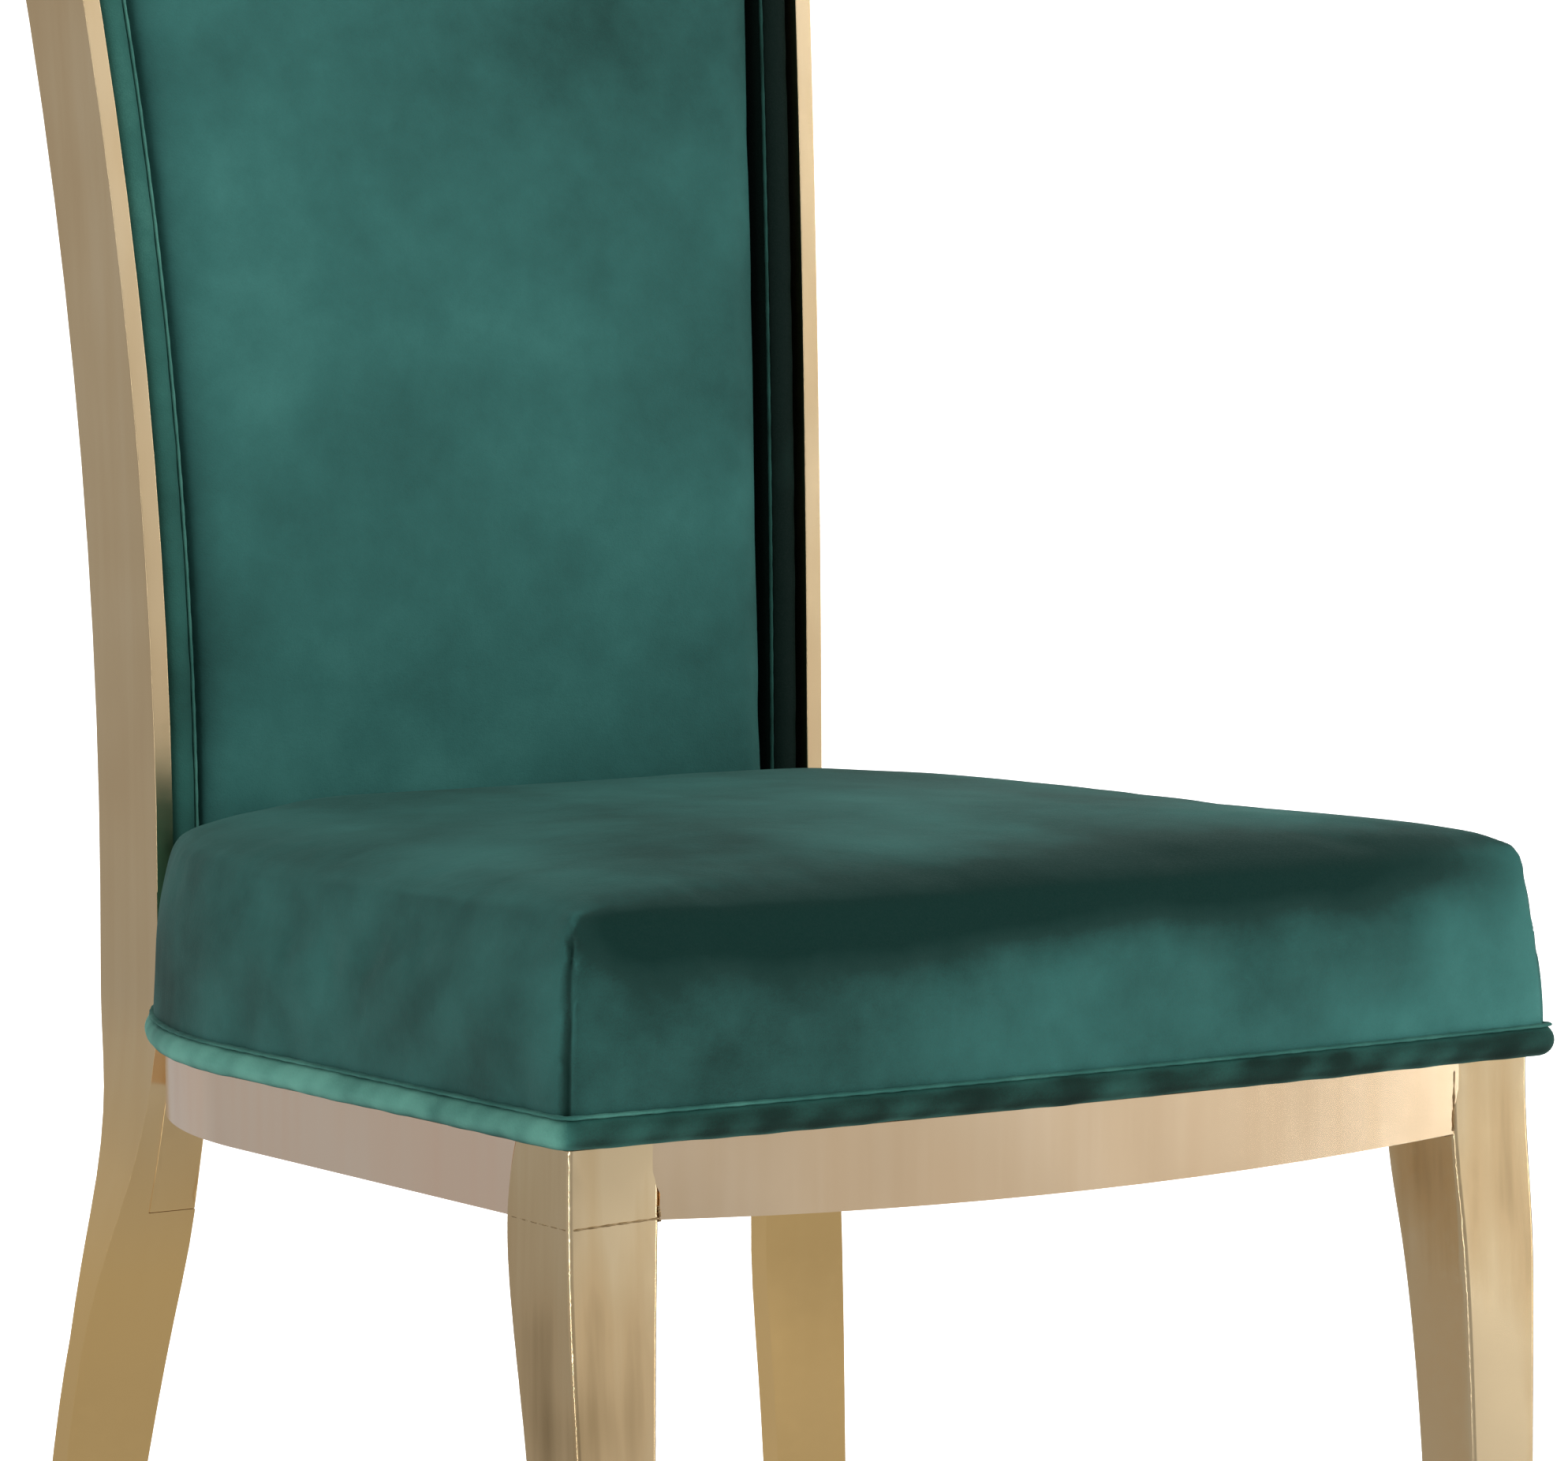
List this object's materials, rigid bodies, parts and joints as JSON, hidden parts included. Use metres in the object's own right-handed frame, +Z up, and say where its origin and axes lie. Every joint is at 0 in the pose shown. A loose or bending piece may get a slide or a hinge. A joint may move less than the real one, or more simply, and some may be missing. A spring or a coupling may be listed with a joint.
{
  "type": "dining chair",
  "caption": "High-back dining chair with a gold-finished welded steel frame, a crowned velvet seat with a welt, and a velvet back pad between flat curved posts.",
  "frame": {"origin": "middle of the chair's footprint box, on the floor", "axes": "+Z up, the chair faces -Y, +X to the right as seen from the front"},
  "size_m": [0.4758, 0.5354, 1.01],
  "materials": {
    "gold_steel": "champagne-gold plated stainless steel, softly polished",
    "glide_plastic": "black moulded nylon",
    "plywood": "raw birch plywood",
    "zinc_steel": "zinc-plated steel",
    "foam": "open-cell polyurethane foam",
    "velvet": "short-pile green velvet",
    "velvet_piping": "short-pile green velvet over cord",
    "dust_cloth": "black non-woven cloth"
  },
  "bodies": {
    "root": {"front_leg_left": "gold_steel", "front_leg_right": "gold_steel", "rear_post_left": "gold_steel", "rear_post_right": "gold_steel", "rear_leg_insert_left": "gold_steel", "rear_leg_insert_right": "gold_steel", "front_rail": "gold_steel", "side_rail_left": "gold_steel", "side_rail_right": "gold_steel", "rear_rail": "gold_steel", "lower_back_rail": "gold_steel", "crest_rail": "gold_steel", "corner_plates": "gold_steel", "back_tabs": "gold_steel", "foot_glides_front": "glide_plastic", "foot_glides_rear": "glide_plastic", "seat_board": "plywood", "seat_tee_nuts": "zinc_steel", "seat_bolts": "zinc_steel", "seat_washers": "zinc_steel", "seat_foam": "foam", "seat_cover": "velvet", "seat_welt": "velvet_piping", "seat_dust_cover": "dust_cloth", "back_board": "plywood", "back_foam": "foam", "back_front_cover": "velvet", "back_border": "velvet_piping", "back_rear_cover": "velvet", "back_tab_screws": "zinc_steel", "back_rail_screws": "zinc_steel"}
  },
  "joints": []
}
